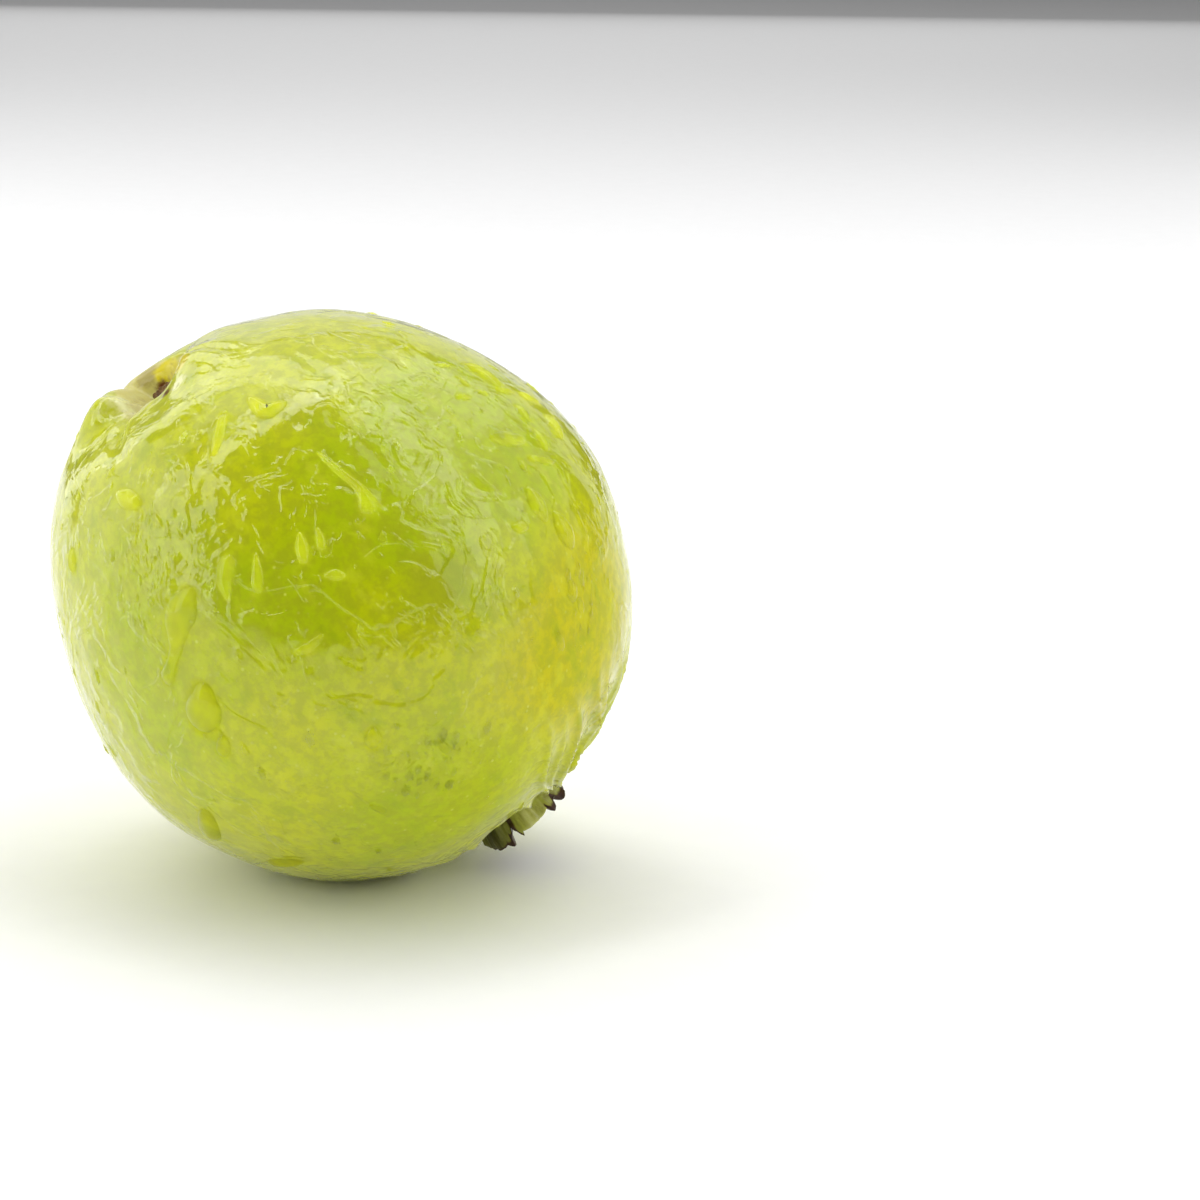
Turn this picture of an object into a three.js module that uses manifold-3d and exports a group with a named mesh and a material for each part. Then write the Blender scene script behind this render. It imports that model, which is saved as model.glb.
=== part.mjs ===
// A whole guava lying on its side, calyx end down: the fruit, its calyx crown and the stub of its stalk.
//
// The fruit is an ovoid turned about its own axis. Each piece is first shaped about the Y axis, stalk end
// at -Y and calyx end at +Y, and then laid down in the part's frame: millimetres, +Z up, the origin on the
// flat spot that the fruit rests on, right under its weight.

import * as THREE from 'three';
import { mergeVertices } from 'three/addons/utils/BufferGeometryUtils.js';
import Module from 'manifold-3d';

const wasm = await Module();
wasm.setup();

const { sin, cos, exp, hypot, PI } = Math;
const rad = THREE.MathUtils.degToRad;

// ---- Driving dimensions: millimetres, and degrees round the axis ----

const GIRTH_RADIUS = 39.7;                 // widest section across the axis
const STEM_HALF = 43.6;                    // from the girth to the stalk-end pole
const CALYX_HALF = 38.9;                   // from the girth to the calyx-end pole
const LEAN = 38.2;                         // of the axis from the vertical, calyx end down and towards +X
const GIRTH_CENTRE = [1.26, 0, 38.45];     // the middle of the girth, where the fruit lies
const GAP = 0.3;                           // between pieces that grow on one another
const GROUND = 200;                        // a block that cuts the flat spot, larger than the fruit

// The hollow that the stalk stood in, a little off the axis, and the swollen lip round it.
const CAVITY = { depth: 6.2, radius: 5.1, steepness: 3.4, offset: 1.5, towards: 90 };
const LIP = { height: 0.6, radius: 10, width: 4 };
const STEM_TILT = { height: 3.3, towards: 88, radius: 27 };

// Furrows that run out of the hollow: direction, depth, half width in degrees, and reach. Each one starts
// inside the lip and fades out past its reach.
const FURROW_START = { none: 1.5, full: 5.5 };
const FURROW_END = { full: 0.45, none: 1.5 };
const FURROWS = [
  { at: -34, depth: 1.0, width: 9, reach: 15 },
  { at: 22, depth: 0.35, width: 10, reach: 12 },
  { at: 61, depth: 0.8, width: 10, reach: 15 },
  { at: 100, depth: 0.6, width: 8, reach: 11 },
  { at: 158, depth: 0.9, width: 12, reach: 16 },
  { at: 214, depth: 0.6, width: 9, reach: 13 },
  { at: 268, depth: 0.9, width: 11, reach: 16 },
];

// The shallow basin that the calyx stands in, its tilt, and the ribs that gather towards it.
const BASIN = { depth: 5.0, radius: 10.5, steepness: 3 };
const BASIN_TILT = { height: 3.4, towards: 200, radius: 20 };
const CALYX_RIM = { height: 0.45, radius: 17.5, width: 6 };
const RIBS = { height: 0.62, strongest: 275, weakest: 0.1, outer: 31, full: 12, fades: 8, inner: 2 };
const RIB_WAVES = [
  { count: 9, share: 0.5, phase: 0.4 },
  { count: 14, share: 0.32, phase: 2.1 },
  { count: 5, share: 0.3, phase: 4.0 },
];

// Low swellings that keep the body from being a perfect figure of revolution.
const LUMPS = [
  { count: 2, height: 0.3, phase: 1.6 },
  { count: 3, height: 0.25, phase: 0.1 },
  { count: 5, height: 0.15, phase: 0.1 },
];
// The body falls away a little between the girth and the stalk end, and again on the calyx side.
const FALLS = [
  { depth: 0.75, at: -20, width: 13 },
  { depth: 0.5, at: 17, width: 8 },
];

// The crown: a fleshy tube sunk in the basin, a disc across it, and the dried sepals on its edge.
// Heights are along the axis, from the girth.
const CROWN = { root: 33, disc: 37.3, edge: 38.8, foot: 6.3, waist: 6, mouth: 6.8, wall: 1.15, folds: 0.22 };
const FOLD_COUNT = 9;
const STYLE_SCAR = { radius: 1.1, height: 0.9 };
const SEPALS = [
  { at: 50, width: 34, height: 1.7, curl: 0.1 },
  { at: 10, width: 6, height: 1.7, curl: 0.3 },
  { at: -14, width: 22, height: 1.3, curl: 0.0 },
  { at: -44, width: 8, height: 1.1, curl: 0.3 },
  { at: -66, width: 11, height: 1.2, curl: 0.6 },
  { at: 112, width: 22, height: 1.6, curl: -0.3 },
  { at: 160, width: 20, height: 2.1, curl: 0.3 },
  { at: 206, width: 20, height: 1.5, curl: 0.8 },
  { at: 254, width: 24, height: 1.8, curl: -0.2 },
];

// The stub of the stalk, broken off short, at the bottom of the hollow.
const STUB = { radius: 1.9, top: -39.9, root: -36.4, rim: 0.4, slant: 0.2, unround: 0.06 };

// How finely the surfaces are divided.
const FRUIT_ROWS = 46;
const FRUIT_COLUMNS = 92;
const CROWN_COLUMNS = 72;
const STUB_COLUMNS = 20;
const POLE_CROWDING = 0.72;                // share by which the rows close up towards both poles

// ---- Small helpers ----

const bell = (x, width) => exp(-((x / width) ** 2));
const fade = (from, to, x) => THREE.MathUtils.smoothstep((x - from) / (to - from), 0, 1);

// The angle from b to a, between -PI and PI.
function turn(a, b) {
  return Math.atan2(sin(a - b), cos(a - b));
}

// A closed LatheGeometry with its seam and poles welded and its flat slivers dropped.
function weld(geometry) {
  geometry.deleteAttribute('normal');
  geometry.deleteAttribute('uv');
  const welded = mergeVertices(geometry, 1e-5);
  const corners = welded.getIndex().array;
  const kept = [];
  for (let i = 0; i < corners.length; i += 3) {
    const [a, b, c] = corners.subarray(i, i + 3);
    if (a !== b && b !== c && c !== a) kept.push(a, b, c);
  }
  welded.setIndex(kept);
  return welded;
}

// Moves every point of a geometry: shape(radius, height, angle) gives the point's new radius and height.
function reshape(geometry, shape) {
  const points = geometry.getAttribute('position');
  for (let i = 0; i < points.count; i++) {
    const angle = Math.atan2(points.getX(i), points.getZ(i));
    const [radius, height] = shape(hypot(points.getX(i), points.getZ(i)), points.getY(i), angle);
    points.setXYZ(i, radius * sin(angle), height, radius * cos(angle));
  }
  return geometry;
}

function toSolid(geometry) {
  const vertProperties = Float32Array.from(geometry.getAttribute('position').array);
  const triVerts = Uint32Array.from(geometry.getIndex().array);
  return new wasm.Manifold(new wasm.Mesh({ numProp: 3, vertProperties, triVerts }));
}

function toGeometry(solid) {
  const { vertProperties, triVerts } = solid.getMesh();
  const geometry = new THREE.BufferGeometry();
  geometry.setAttribute('position', new THREE.BufferAttribute(vertProperties, 3));
  geometry.setIndex(new THREE.BufferAttribute(triVerts, 1));
  return geometry;
}

// A solid of revolution about Y through [radius, height] points, from the low pole to the high one.
function turned(points, columns) {
  return weld(new THREE.LatheGeometry(points.map(([r, h]) => new THREE.Vector2(r, h)), columns));
}

// ---- The fruit ----

// How far the body's skin stands out of the plain ovoid, at polar angle theta and angle phi round the axis.
function relief(theta, phi) {
  const radius = GIRTH_RADIUS * sin(theta);
  const half = theta < PI / 2 ? STEM_HALF : CALYX_HALF;
  let height = 0;
  for (const lump of LUMPS) height += lump.height * cos(lump.count * phi + lump.phase) * sin(theta) ** 2;
  for (const fall of FALLS) height -= fall.depth * bell(-half * cos(theta) - fall.at, fall.width);
  if (theta < PI / 2) {
    height += LIP.height * bell(radius - LIP.radius, LIP.width);
    for (const furrow of FURROWS) {
      const start = fade(FURROW_START.none, FURROW_START.full, radius);
      const end = fade(furrow.reach * FURROW_END.none, furrow.reach * FURROW_END.full, radius);
      height -= furrow.depth * bell(turn(phi, rad(furrow.at)), rad(furrow.width)) * start * end;
    }
  } else {
    height += CALYX_RIM.height * bell(radius - CALYX_RIM.radius, CALYX_RIM.width);
    let wave = 0;
    for (const rib of RIB_WAVES) wave += rib.share * cos(rib.count * phi + rib.phase);
    const side = (1 + cos(turn(phi, rad(RIBS.strongest)))) / 2;
    const along = fade(RIBS.outer, RIBS.full, radius) * fade(RIBS.inner, RIBS.fades, radius);
    height += RIBS.height * wave * (RIBS.weakest + (1 - RIBS.weakest) * side) * along;
  }
  return height;
}

// The skin's point at polar angle theta (0 at the stalk end) and angle phi: its radius and its height.
function skin(theta, phi) {
  const half = theta < PI / 2 ? STEM_HALF : CALYX_HALF;
  const radius = GIRTH_RADIUS * sin(theta);
  const length = hypot(half * sin(theta), GIRTH_RADIUS * cos(theta));
  const out = relief(theta, phi);
  let height = -half * cos(theta) - (out * GIRTH_RADIUS * cos(theta)) / length;
  if (theta < PI / 2) {
    const { depth, steepness, offset, towards } = CAVITY;
    const across = hypot(radius * cos(phi) - offset * cos(rad(towards)),
      radius * sin(phi) - offset * sin(rad(towards)));
    height += depth * exp(-((across / CAVITY.radius) ** steepness));
    height -= STEM_TILT.height * cos(turn(phi, rad(STEM_TILT.towards)))
      * (radius / STEM_TILT.radius) * bell(radius, STEM_TILT.radius);
  } else {
    height -= BASIN.depth * exp(-((radius / BASIN.radius) ** BASIN.steepness));
    height += BASIN_TILT.height * cos(turn(phi, rad(BASIN_TILT.towards)))
      * (radius / BASIN_TILT.radius) * bell(radius, BASIN_TILT.radius);
  }
  return [radius + (out * half * sin(theta)) / length, height];
}

// Rows of polar angle, closer together near the poles where the hollow and the basin are.
function polarAngle(row) {
  const share = row / FRUIT_ROWS;
  return PI * (share - (POLE_CROWDING * sin(2 * PI * share)) / (2 * PI));
}

// A unit sphere with those rows, each of its points then moved to the skin's point of the same angles.
function bodyGeometry() {
  const arc = [];
  for (let row = 0; row <= FRUIT_ROWS; row++) {
    const theta = polarAngle(row);
    arc.push([row % FRUIT_ROWS === 0 ? 0 : sin(theta), -cos(theta)]);
  }
  return reshape(turned(arc, FRUIT_COLUMNS), (radius, height, phi) => skin(Math.atan2(radius, -height), phi));
}

// ---- The calyx crown ----

// How much of a sepal stands at angle phi: its height over the tube's edge and its outward curl.
function sepalAt(phi) {
  let height = 0;
  let curl = 0;
  for (const sepal of SEPALS) {
    const share = exp(-((turn(phi, rad(sepal.at)) / rad(sepal.width)) ** 4));
    if (sepal.height * share > height) {
      height = sepal.height * share;
      curl = sepal.curl * share;
    }
  }
  return { height, curl };
}

function crownGeometry() {
  const { root, disc, edge, foot, waist, mouth, wall, folds } = CROWN;
  const tip = edge + 1;
  const outline = [
    [0, root], [foot * 0.6, root], [foot, root], [foot, root + 1.2], [waist, root + 2.4],
    [waist + 0.15, disc - 0.6], [mouth, edge], [mouth + 0.1, edge + 0.5], [mouth, tip],
    [mouth - wall * 0.7, tip], [mouth - wall, edge + 0.4], [mouth - wall * 1.2, edge - 0.4],
    [mouth - wall * 1.8, disc + 0.1], [STYLE_SCAR.radius * 2.4, disc], [STYLE_SCAR.radius, disc + 0.1],
    [STYLE_SCAR.radius * 0.55, disc + STYLE_SCAR.height], [0, disc + STYLE_SCAR.height],
  ];
  return reshape(turned(outline, CROWN_COLUMNS), (radius, height, phi) => {
    const { height: rise, curl } = sepalAt(phi);
    const up = Math.max(0, (height - edge) / (tip - edge));
    const fold = folds * cos(FOLD_COUNT * phi) * fade(root, edge, height) * fade(foot / 2, foot, radius);
    return [radius + up * up * curl + fold, height + up * (rise - 1)];
  });
}

// ---- The stub of the stalk ----

function stubGeometry() {
  const { radius, top, root, rim, slant, unround } = STUB;
  const outline = [
    [0, top + rim], [radius * 0.3, top + rim * 0.8], [radius * 0.62, top], [radius * 0.88, top + rim * 0.4],
    [radius, top + rim * 1.6], [radius * 1.04, root], [0, root],
  ];
  return reshape(turned(outline, STUB_COLUMNS), (r, height, phi) => [
    r * (1 + unround * cos(3 * phi)),
    height + slant * cos(phi) * (r / radius) * fade(root, top, height),
  ]);
}

// ---- Assembly ----

// Moves a piece shaped about Y into the middle of the stalk's hollow.
function inHollow(geometry) {
  const direction = rad(CAVITY.towards);
  return geometry.translate(CAVITY.offset * sin(direction), 0, CAVITY.offset * cos(direction));
}

// Turns a piece shaped about Y into the part's frame.
function laid(geometry) {
  const pose = new THREE.Object3D();
  pose.rotation.set(PI / 2, PI - rad(LEAN), 0, 'YXZ');
  pose.position.set(...GIRTH_CENTRE);
  pose.updateMatrix();
  return geometry.applyMatrix4(pose.matrix);
}

// A round plug about Y, between two heights: the room that a piece needs in the fruit.
function room(radius, low, high, columns) {
  return turned([[0, low], [radius, low], [radius, high], [0, high]], columns);
}

function fruitGeometry() {
  const ground = weld(new THREE.BoxGeometry(GROUND, GROUND, GROUND).translate(0, 0, -GROUND / 2));
  const crownRoom = room(CROWN.foot + CROWN.folds + GAP, CROWN.root - GAP, CALYX_HALF, CROWN_COLUMNS);
  const stubRoom = room(STUB.radius * 1.1 + GAP, -STEM_HALF, STUB.root + GAP, STUB_COLUMNS);
  const body = toSolid(laid(bodyGeometry()))
    .subtract(toSolid(ground))
    .subtract(toSolid(laid(crownRoom)))
    .subtract(toSolid(laid(inHollow(stubRoom))));
  return toGeometry(body);
}

function piece(name, geometry, color, roughness) {
  geometry.computeVertexNormals();
  const mesh = new THREE.Mesh(geometry, new THREE.MeshStandardMaterial({ color, roughness, metalness: 0 }));
  mesh.name = name;
  return mesh;
}

const guava = new THREE.Group();
guava.name = 'guava';
guava.add(piece('fruit', fruitGeometry(), 0xb4c22c, 0.3));
guava.add(piece('calyx', laid(crownGeometry()), 0x4c3a1c, 0.75));
guava.add(piece('stalk_stub', laid(inHollow(stubGeometry())), 0x5a4424, 0.85));

export default guava;
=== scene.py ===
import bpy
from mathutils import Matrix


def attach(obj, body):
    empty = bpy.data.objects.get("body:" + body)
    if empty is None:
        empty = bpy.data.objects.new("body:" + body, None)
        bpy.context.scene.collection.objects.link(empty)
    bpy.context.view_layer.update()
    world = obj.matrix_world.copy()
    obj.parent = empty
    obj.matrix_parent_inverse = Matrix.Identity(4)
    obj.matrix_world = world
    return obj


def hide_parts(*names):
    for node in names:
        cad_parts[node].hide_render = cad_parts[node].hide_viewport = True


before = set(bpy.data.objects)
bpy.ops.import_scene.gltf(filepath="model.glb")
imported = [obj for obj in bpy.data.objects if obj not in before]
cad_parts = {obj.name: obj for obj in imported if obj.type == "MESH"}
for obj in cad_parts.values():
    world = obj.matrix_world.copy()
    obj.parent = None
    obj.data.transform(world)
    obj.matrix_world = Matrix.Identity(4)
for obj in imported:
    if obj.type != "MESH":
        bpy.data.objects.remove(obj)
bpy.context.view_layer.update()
print("nodes:", ", ".join(sorted(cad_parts)))

# %% [markdown]
# # A wet guava
#
# This lesson dresses one fruit: a guava lying on its side, just rinsed. Its looks come from four
# things. The skin is yellow-green, soft in its lumps and a little uneven in colour. A thin film of
# water lies over it, and mirrors the lamps. Drops stand on the film. At one end is the hollow
# where the stalk was, and at the other the dried crown that was once the foot of the flower.
#
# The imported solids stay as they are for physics. Each visible piece is a finer mesh that stands
# for one solid, in the same place and size.

# %% Tools and units
import random

import bmesh
import bpy
import numpy as np
from mathutils import Matrix, Vector, noise
from mathutils.bvhtree import BVHTree

MM = 0.001
rad = np.radians


def bell(x, width):
    return np.exp(-((x / width) ** 2))


def fade(start, end, x):
    share = np.clip((x - start) / (end - start), 0, 1)
    return share * share * (3 - 2 * share)


def turn(a, b):
    """The angle from b round to a, between minus pi and pi."""
    return np.arctan2(np.sin(a - b), np.cos(a - b))


# %% [markdown]
# ## The fruit's own measurements
#
# A guava grows round an axis, so it is easiest to describe by two angles: `theta` runs along a
# meridian from the stalk end to the flower end, and `phi` runs round the girth. The base is half
# an ellipse for each end. Everything that makes it this fruit is a height added to that: the stalk
# hollow and its swollen lip, short furrows that run into the hollow, the shallow basin round the
# crown, the ribs that gather there, and a few very low, broad lumps. All of it is in millimetres.

# %% Measurements
GIRTH_RADIUS, STEM_HALF, CALYX_HALF = 39.7, 43.6, 38.9
LEAN = rad(38.2)
GIRTH_CENTRE = np.array([1.26, 0.0, 38.45])
CAVITY = dict(depth=6.2, radius=5.1, steepness=3.4, offset=1.5, towards=rad(90))
LIP = dict(height=0.6, radius=10, width=4)
STEM_TILT = dict(height=3.3, towards=rad(88), radius=27)
BASIN = dict(depth=5.0, radius=10.5, steepness=3)
BASIN_TILT = dict(height=3.4, towards=rad(200), radius=20)
CALYX_RIM = dict(height=0.45, radius=17.5, width=6)
FURROWS = [  # where round the hollow, how deep, how wide an angle, how far out, turn per mm
    (-48, 0.45, 5, 15, 0.5), (42, 1.0, 7, 18, -2.4), (72, 0.5, 6, 8, 0), (100, 0.4, 8, 11, 0),
    (134, 0.7, 8, 12, 0), (214, 0.3, 10, 12, 0),
]
FURROW_MIDDLE = 14  # how far out a furrow has the angle that is given, mm
RIB_WAVES = [(9, 0.5, 0.4), (14, 0.32, 2.1), (5, 0.3, 4.0)]  # count, share, phase
RIB_HEIGHT, RIB_STRONGEST, RIB_WEAKEST = 0.62, rad(275), 0.1
LUMPS = [(2, 0.3, 1.6), (3, 0.25, 0.1), (5, 0.15, 0.1)]  # count, height, phase
FALLS = [(0.75, -20, 13), (0.5, 17, 8)]  # how deep, where along the axis, how wide
POLE_CROWDING = 0.72


def relief(theta, phi):
    """How far the skin stands out from the two half ellipses."""
    radius = GIRTH_RADIUS * np.sin(theta)
    stem = theta < np.pi / 2
    along = -np.where(stem, STEM_HALF, CALYX_HALF) * np.cos(theta)
    height = sum(h * np.cos(n * phi + p) for n, h, p in LUMPS) * np.sin(theta) ** 2
    height = height - sum(depth * bell(along - at, width) for depth, at, width in FALLS)
    at_stem = LIP["height"] * bell(radius - LIP["radius"], LIP["width"])
    for at, depth, width, reach, twist in FURROWS:
        ends = fade(1.5, 5.5, radius) * fade(reach * 1.5, reach * 0.45, radius)
        line = rad(at + twist * (radius - FURROW_MIDDLE))
        at_stem = at_stem - depth * bell(turn(phi, line), rad(width)) * ends
    wave = sum(share * np.cos(count * phi + phase) for count, share, phase in RIB_WAVES)
    side = (1 + np.cos(turn(phi, RIB_STRONGEST))) / 2
    ribs = RIB_HEIGHT * wave * (RIB_WEAKEST + (1 - RIB_WEAKEST) * side)
    ribs = ribs * fade(31, 12, radius) * fade(2, 8, radius)
    at_calyx = CALYX_RIM["height"] * bell(radius - CALYX_RIM["radius"], CALYX_RIM["width"]) + ribs
    return height + np.where(stem, at_stem, at_calyx)


def skin(theta, phi, extra=0.0):
    """Distance from the axis, and place along it, of a point of the skin."""
    stem = theta < np.pi / 2
    half = np.where(stem, STEM_HALF, CALYX_HALF)
    radius = GIRTH_RADIUS * np.sin(theta)
    length = np.hypot(half * np.sin(theta), GIRTH_RADIUS * np.cos(theta))
    out = relief(theta, phi) + extra
    height = -half * np.cos(theta) - out * GIRTH_RADIUS * np.cos(theta) / length
    across = np.hypot(
        radius * np.cos(phi) - CAVITY["offset"] * np.cos(CAVITY["towards"]),
        radius * np.sin(phi) - CAVITY["offset"] * np.sin(CAVITY["towards"]),
    )
    hollow = CAVITY["depth"] * np.exp(-((across / CAVITY["radius"]) ** CAVITY["steepness"]))
    hollow = hollow - tilt(STEM_TILT, radius, phi)
    basin = -BASIN["depth"] * np.exp(-((radius / BASIN["radius"]) ** BASIN["steepness"]))
    basin = basin + tilt(BASIN_TILT, radius, phi)
    return radius + out * half * np.sin(theta) / length, height + np.where(stem, hollow, basin)


def tilt(slope, radius, phi):
    share = np.cos(turn(phi, slope["towards"])) * radius / slope["radius"]
    return slope["height"] * share * bell(radius, slope["radius"])


AXES = np.array([  # where the fruit's own x, y and z point in the scene; y is its axis
    [-np.cos(LEAN), 0, -np.sin(LEAN)], [np.sin(LEAN), 0, -np.cos(LEAN)], [0, -1, 0],
])


def place(radius, height, phi):
    """From the fruit's own round measures to the scene, in millimetres."""
    own = np.stack([radius * np.sin(phi), height + 0 * radius, radius * np.cos(phi)], -1)
    return own @ AXES + GIRTH_CENTRE


r, h = skin(np.linspace(0, np.pi, 5), np.zeros(5))
print("axis places of a meridian:", np.round(h, 1), "mm")

# %% [markdown]
# ## The camera
#
# The fruit is seen from a little above, from close to half a metre, with a lens that is long
# enough to keep its shape honest. The camera first looks straight at the middle of the girth, and
# then turns to the right, because the fruit lies left of the middle of the view.

# %% Camera
DISTANCE, ELEVATION = 467.0, rad(15)
VIEW_WIDTH = 168.0  # at the fruit's middle, mm
VIEW_PIXELS = 1200
MIDDLE_PIXEL = (352, 603.5)  # where the girth's middle lands

camera = bpy.data.objects.new("camera", bpy.data.cameras.new("camera"))
bpy.context.scene.collection.objects.link(camera)
bpy.context.scene.camera = camera
camera.data.lens = camera.data.sensor_width * DISTANCE / VIEW_WIDTH
side = (VIEW_PIXELS / 2 - MIDDLE_PIXEL[0]) / VIEW_PIXELS * VIEW_WIDTH
rise = (MIDDLE_PIXEL[1] - VIEW_PIXELS / 2) / VIEW_PIXELS * VIEW_WIDTH
away = Vector((0, -np.cos(ELEVATION), np.sin(ELEVATION))) * DISTANCE
spot = (Vector(GIRTH_CENTRE) + away) * MM
aim = Matrix.Rotation(np.pi / 2 - ELEVATION, 4, "X")
aim = aim @ Matrix.Rotation(-np.arctan2(side, DISTANCE), 4, "Y")
aim = aim @ Matrix.Rotation(np.arctan2(rise, DISTANCE), 4, "X")
camera.matrix_world = Matrix.Translation(spot) @ aim
camera.data.clip_end = 20
print("camera at", [round(v, 3) for v in spot], "lens", round(camera.data.lens, 1))


def sight(x, y):
    """The line of sight through a pixel of the 1200-pixel view, in millimetres."""
    scale = VIEW_WIDTH / DISTANCE / VIEW_PIXELS
    ray = Vector(((x - VIEW_PIXELS / 2) * scale, (VIEW_PIXELS / 2 - y) * scale, -1))
    return camera.matrix_world.to_translation() / MM, (aim.to_3x3() @ ray).normalized()


# %% [markdown]
# ## The studio
#
# Wet things are photographed in a tent of white cloth: big, even sheets of light on both sides,
# above and behind, with a gap in front for the camera. The film of water mirrors the tent, so the
# gap shows as a clear dark wedge in the middle of the fruit, where the skin's own colour is
# purest. Twelve area lamps make the tent here. Their edges matter more than their strength,
# because the edges are what the water draws, and the high one on the right leans forward, so the
# wedge has a slanting edge. One more lamp, behind the camera, fills the shadows. It and the faint
# glow of the air are left out of mirror reflections, so the gap stays dark. No real lamp can do
# that, so it is a liberty taken for the looks.
#
# The picture's tones are a choice too. The view is the plain Standard one, with a curve in the
# scene's colour management that lets dark tones fall off as a print's do. It takes a fifth off a
# tone of a tenth of full light and 3 % off one of a half. It is part of no material, so a model
# that is exported from here doesn't have it.

# %% Studio
TENT_TOP = Vector((0, 0.12, 1.4))
TENT_REACH = 1.1
TENT_TAPER = 0.9  # how much narrower a wall is at the top than at its foot


def lamp(name, corner, edge, across, glow, mirrored=True):
    """A rectangular lamp with one corner and two sides given, in metres, that faces the fruit."""
    corner, edge, across = Vector(corner), Vector(edge), Vector(across)
    across = across - edge * (across.dot(edge) / edge.length_squared)
    middle = corner + (edge + across) / 2
    facing = edge.cross(across).normalized()
    if facing.dot(middle) < 0:
        facing = -facing
    light = bpy.data.lights.new(name, "AREA")
    light.shape, light.size, light.size_y = "RECTANGLE", across.length, edge.length
    light.energy = glow * np.pi * across.length * edge.length
    thing = bpy.data.objects.new(name, light)
    up = edge.normalized()
    thing.matrix_world = Matrix.Translation(middle) @ Matrix(
        (up.cross(facing), up, facing)).transposed().to_4x4()
    thing.visible_camera = False
    thing.visible_glossy = mirrored
    bpy.context.scene.collection.objects.link(thing)
    print(f"{name}: {across.length:.2f} by {edge.length:.2f} m, {light.energy:.0f} W")


def from_front(degrees):
    """A place on the floor, that many degrees left of the camera's side of the fruit."""
    return Vector((-np.sin(rad(degrees)), -np.cos(rad(degrees)), 0)) * TENT_REACH


def tent_wall(name, first, last, low, high, glow):
    """A wall of the tent between two angles, and between two shares of the way up to its top."""
    foot = from_front(first)
    slope = TENT_TOP - foot
    across = (from_front(last) - foot) * (1 - TENT_TAPER * (low + high) / 2)
    lamp(name, foot + slope * low, slope * (high - low), across, glow)


TENT = [  # name, first and last angle, from and up to which share of the height, glow
    ("lamp_left_foot", 55, 80, 0, 0.42, 2.4),
    ("lamp_left", 55, 80, 0.42, 1, 3.4),
    ("lamp_left_side_foot", 80, 130, 0, 0.42, 1.3),
    ("lamp_left_side", 80, 130, 0.42, 1, 0.8),
    ("lamp_left_back", 130, 155, 0, 1, 1.6),
    ("lamp_right_foot", -54, -80, 0, 0.42, 1.2),
    ("lamp_right", -54, -80, 0.42, 1, 1.5),
    ("lamp_right_side", -80, -130, 0, 1, 0.8),
    ("lamp_right_back", -130, -155, 0, 1, 0.8),
]
for wall in TENT:
    tent_wall(*wall)
lamp("lamp_right_high", (0.76, -0.9, 0.2), (-0.76, 0.8, 1.1), (0.4, 0.35, 0), 1.3)
lamp("lamp_back", (-0.6, 1.4, 0.05), (1.2, 0, 0), (0, 0, 0.95), 0.8)
lamp("lamp_top", (-1.0, 0.12, 1.4), (2.0, 0, 0), (0, 1.1, -0.4), 0.7)
lamp("fill_front", (-0.8, -1.7, 0.2), (1.6, 0, 0), (0, -0.5, 1.5), 1.0, mirrored=False)

AIR_GLOW = 0.1

world = bpy.data.worlds.new("studio_air")
bpy.context.scene.world = world
world.use_nodes = True
world.node_tree.nodes["Background"].inputs["Color"].default_value = (*[AIR_GLOW] * 3, 1)
world.cycles_visibility.glossy = False

TOE = 0.03  # below about this much light, the print falls off to black
view = bpy.context.scene.view_settings
view.view_transform = "Standard"
view.use_curve_mapping = True
tones = view.curve_mapping.curves[3]
for light_in in (0.05, 0.1, 0.2, 0.5):
    tones.points.new(light_in, light_in ** 2 / (light_in + TOE) * (1 + TOE))
view.curve_mapping.update()

FLOOR_SIDE = 8.0
bm = bmesh.new()
bmesh.ops.create_grid(bm, x_segments=1, y_segments=1, size=FLOOR_SIDE / 2)
floor_mesh = bpy.data.meshes.new("floor")
bm.to_mesh(floor_mesh)
bm.free()
floor = bpy.data.objects.new("floor", floor_mesh)
bpy.context.scene.collection.objects.link(floor)

# %% [markdown]
# ## The skin's mesh
#
# A sphere of small faces already has the right topology for a fruit: a pole at each end and
# meridians between. Each of its points has a `theta` and a `phi`, and the formulas above say
# where it belongs. The rows are crowded towards the poles, where the hollow and the basin need
# them. Two finer reliefs are added that the solid leaves out: low dents a few millimetres across,
# and creases that run along the meridians near the crown. The points that would go under the
# floor are set on it, which gives the flat spot on which the fruit's own weight has pressed it.

# %% Skin mesh
SKIN_COLUMNS, SKIN_ROWS = 380, 250


def wobble(points, size, seed, stretch=1.0):
    """Smooth noise between about -1 and 1 at each point; stretch draws it out along the axis."""
    own = (points - GIRTH_CENTRE) @ AXES.T
    own = own * np.array([1, 1 / stretch, 1]) / size + seed * 7.31
    return np.array([noise.noise(p) for p in own.tolist()])


bm = bmesh.new()
bmesh.ops.create_uvsphere(bm, u_segments=SKIN_COLUMNS, v_segments=SKIN_ROWS, radius=1)
skin_mesh = bpy.data.meshes.new("guava_skin")
bm.to_mesh(skin_mesh)
bm.free()
points = np.empty(len(skin_mesh.vertices) * 3)
skin_mesh.vertices.foreach_get("co", points)
points = points.reshape(-1, 3)
share = np.arccos(np.clip(-points[:, 2], -1, 1)) / np.pi
theta = np.pi * (share - POLE_CROWDING * np.sin(2 * np.pi * share) / (2 * np.pi))
phi = np.arctan2(points[:, 1], points[:, 0])
radius, height = skin(theta, phi)
rough_place = place(radius, height, phi)

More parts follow.
